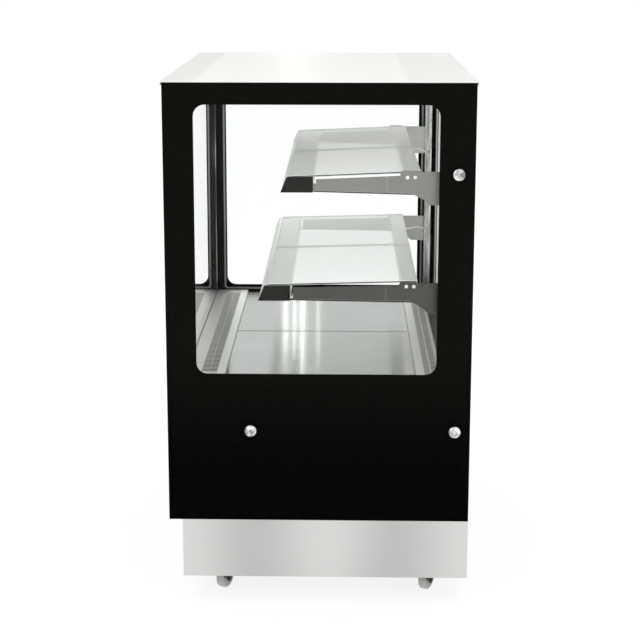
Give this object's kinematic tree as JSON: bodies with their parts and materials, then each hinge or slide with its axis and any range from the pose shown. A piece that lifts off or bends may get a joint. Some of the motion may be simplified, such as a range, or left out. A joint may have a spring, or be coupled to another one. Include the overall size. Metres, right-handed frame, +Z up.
{
  "type": "refrigerated bakery display case",
  "caption": "Floor-standing square glass bakery display case with glass shelves, sliding rear doors and a brushed steel plinth on casters.",
  "frame": {"origin": "on the floor, under the middle of the top panel", "axes": "+Z up, X along the case between its two glass ends, -Y towards the customer, +Y towards the sliding doors"},
  "size_m": [0.921, 0.683, 1.195],
  "materials": {
    "plinth_steel": "brushed stainless steel sheet",
    "top_steel": "bright brushed stainless steel sheet",
    "deck_steel": "satin stainless steel sheet",
    "shelf_steel": "grey satin steel plate",
    "shelf_aluminium": "satin anodised aluminium",
    "cap_plastic": "dark moulded plastic",
    "shell_paint": "black powder coat",
    "printed_glass": "clear double glazing with a black printed border",
    "black_print": "black ceramic print behind glass, glossy",
    "clear_glass": "clear tempered glass",
    "frame_aluminium": "satin anodised aluminium",
    "polished_steel": "polished stainless steel",
    "caster_steel": "dark plated steel",
    "caster_tread": "light grey moulded tread",
    "lamp": "satin aluminium lamp housing",
    "led_diffuser": "white translucent diffuser",
    "lead": "white sheathed lead",
    "gasket": "black rubber gasket",
    "coil_aluminium": "finned aluminium coil",
    "unit_paint": "black enamel",
    "fan_plastic": "black moulded plastic",
    "switch_plastic": "black gloss plastic"
  },
  "bodies": {
    "case": {"base_frame": "plinth_steel", "lower_shell": "shell_paint", "right_end_glass": "printed_glass", "left_end_glass": "printed_glass", "front_glass": "printed_glass", "front_post_right": "frame_aluminium", "front_post_left": "frame_aluminium", "rear_upright_right": "polished_steel", "rear_upright_left": "polished_steel", "top_panel": "top_steel", "top_light": "lamp", "rear_door_frame": "frame_aluminium", "machine_grille": "shell_paint", "front_grille": "deck_steel", "rear_grille": "deck_steel", "deck_pan_right": "deck_steel", "deck_pan_left": "deck_steel", "evaporator": "coil_aluminium", "condenser": "unit_paint", "compressor": "unit_paint", "right_cap_upper_rear": "polished_steel", "right_cap_lower_front": "polished_steel", "right_cap_lower_rear": "polished_steel", "left_cap_upper_rear": "polished_steel", "left_cap_lower_front": "polished_steel", "left_cap_lower_rear": "polished_steel", "upper_shelf_front_rail": "shelf_aluminium", "upper_shelf_rear_rail": "shelf_aluminium", "upper_shelf_lead": "lead", "upper_shelf_cap_right": "cap_plastic", "upper_shelf_bracket_right": "shelf_steel", "upper_shelf_glass_right": "clear_glass", "upper_shelf_cap_left": "cap_plastic", "upper_shelf_bracket_left": "shelf_steel", "upper_shelf_glass_left": "clear_glass", "lower_shelf_front_rail": "shelf_aluminium", "lower_shelf_rear_rail": "shelf_aluminium", "lower_shelf_lead": "lead", "lower_shelf_cap_right": "cap_plastic", "lower_shelf_bracket_right": "shelf_steel", "lower_shelf_glass_right": "clear_glass", "lower_shelf_cap_left": "cap_plastic", "lower_shelf_bracket_left": "shelf_steel", "lower_shelf_glass_left": "clear_glass"},
    "left_door": {"left_door_frame": "frame_aluminium", "left_door_glass": "clear_glass"},
    "right_door": {"right_door_frame": "frame_aluminium", "right_door_glass": "clear_glass"},
    "evaporator_rotor": {"evaporator_fan": "fan_plastic"},
    "condenser_rotor": {"condenser_fan": "fan_plastic"},
    "light_rocker": {"light_switch": "switch_plastic"},
    "power_rocker": {"power_switch": "switch_plastic"},
    "front_right_fork": {"caster_fork_front_right": "caster_steel"},
    "front_right_wheel": {"caster_wheel_front_right": "caster_tread"},
    "rear_right_fork": {"caster_fork_rear_right": "caster_steel"},
    "rear_right_wheel": {"caster_wheel_rear_right": "caster_tread"},
    "front_left_fork": {"caster_fork_front_left": "caster_steel"},
    "front_left_wheel": {"caster_wheel_front_left": "caster_tread"},
    "rear_left_fork": {"caster_fork_rear_left": "caster_steel"},
    "rear_left_wheel": {"caster_wheel_rear_left": "caster_tread"}
  },
  "joints": [
    {"name": "left_door_slide", "type": "slide", "parent": "case", "child": "left_door", "axis": [1, 0, 0], "range_m": [0, 0.41]},
    {"name": "right_door_slide", "type": "slide", "parent": "case", "child": "right_door", "axis": [-1, 0, 0], "range_m": [0, 0.41]},
    {"name": "front_right_swivel", "type": "hinge", "parent": "case", "child": "front_right_fork", "pos_m": [0.376, -0.232, 0.06], "axis": [0, 0, 1], "continuous": true},
    {"name": "front_right_roll", "type": "hinge", "parent": "front_right_fork", "child": "front_right_wheel", "pos_m": [0.35695, -0.221, 0.025], "axis": [-0.5, -0.866, 0], "continuous": true},
    {"name": "rear_right_swivel", "type": "hinge", "parent": "case", "child": "rear_right_fork", "pos_m": [0.376, 0.24, 0.06], "axis": [0, 0, 1], "continuous": true},
    {"name": "rear_right_roll", "type": "hinge", "parent": "rear_right_fork", "child": "rear_right_wheel", "pos_m": [0.35695, 0.251, 0.025], "axis": [-0.5, -0.866, 0], "continuous": true},
    {"name": "front_left_swivel", "type": "hinge", "parent": "case", "child": "front_left_fork", "pos_m": [-0.376, -0.232, 0.06], "axis": [0, 0, 1], "continuous": true},
    {"name": "front_left_roll", "type": "hinge", "parent": "front_left_fork", "child": "front_left_wheel", "pos_m": [-0.39594, -0.2413, 0.025], "axis": [0.4226, -0.9063, 0], "continuous": true},
    {"name": "rear_left_swivel", "type": "hinge", "parent": "case", "child": "rear_left_fork", "pos_m": [-0.376, 0.24, 0.06], "axis": [0, 0, 1], "continuous": true},
    {"name": "rear_left_roll", "type": "hinge", "parent": "rear_left_fork", "child": "rear_left_wheel", "pos_m": [-0.39725, 0.24569, 0.025], "axis": [-0.2588, -0.9659, 0], "continuous": true},
    {"name": "evaporator_fan_spin", "type": "hinge", "parent": "case", "child": "evaporator_rotor", "pos_m": [0.1, -0.07, 0.482], "axis": [0, 0, 1], "continuous": true},
    {"name": "condenser_fan_spin", "type": "hinge", "parent": "case", "child": "condenser_rotor", "pos_m": [0.117, 0.04, 0.232], "axis": [1, 0, 0], "continuous": true},
    {"name": "light_switch_rock", "type": "hinge", "parent": "case", "child": "light_rocker", "pos_m": [0.33, 0.328, 0.36], "axis": [1, 0, 0], "range_deg": [0, 16]},
    {"name": "power_switch_rock", "type": "hinge", "parent": "case", "child": "power_rocker", "pos_m": [0.37, 0.328, 0.36], "axis": [1, 0, 0], "range_deg": [0, 16]}
  ]
}
